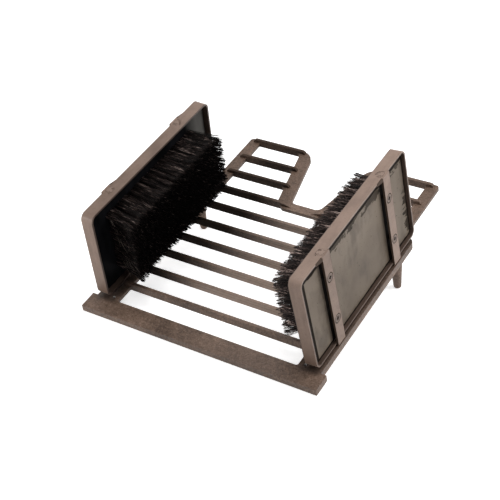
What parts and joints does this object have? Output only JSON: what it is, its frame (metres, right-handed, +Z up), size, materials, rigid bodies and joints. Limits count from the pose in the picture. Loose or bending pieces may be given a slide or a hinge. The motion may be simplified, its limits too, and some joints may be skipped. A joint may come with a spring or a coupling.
{
  "type": "boot scraper",
  "caption": "Cast-iron boot scraper tilted on rear legs: an open grille of scraper blades with a heel notch, and a framed bristle brush leaning in over each side.",
  "frame": {"origin": "middle of the overall bounding box at ground level", "axes": "+Z up from the ground; +Y from the low front plate to the raised rear arms beside the heel notch; +X to the right as seen from the front"},
  "size_m": [0.3, 0.3359, 0.1756],
  "materials": {
    "cast_grille": "satin bronze-brown paint on a sand-cast surface",
    "iron_strip": "satin bronze-brown paint",
    "brush_board": "smooth, semi-gloss, smudged",
    "bristle": "black-brown stiff bristle",
    "screw": "bronze-brown, with a dark cross recess"
  },
  "bodies": {
    "root": {"base_grille": "cast_grille", "left_brush_hoop": "iron_strip", "right_brush_hoop": "iron_strip", "left_front_strap": "iron_strip", "left_rear_strap": "iron_strip", "right_front_strap": "iron_strip", "right_rear_strap": "iron_strip", "left_brush_board": "brush_board", "right_brush_board": "brush_board", "left_bristles": "bristle", "right_bristles": "bristle", "left_strap_screws": "screw", "right_strap_screws": "screw"}
  },
  "joints": []
}
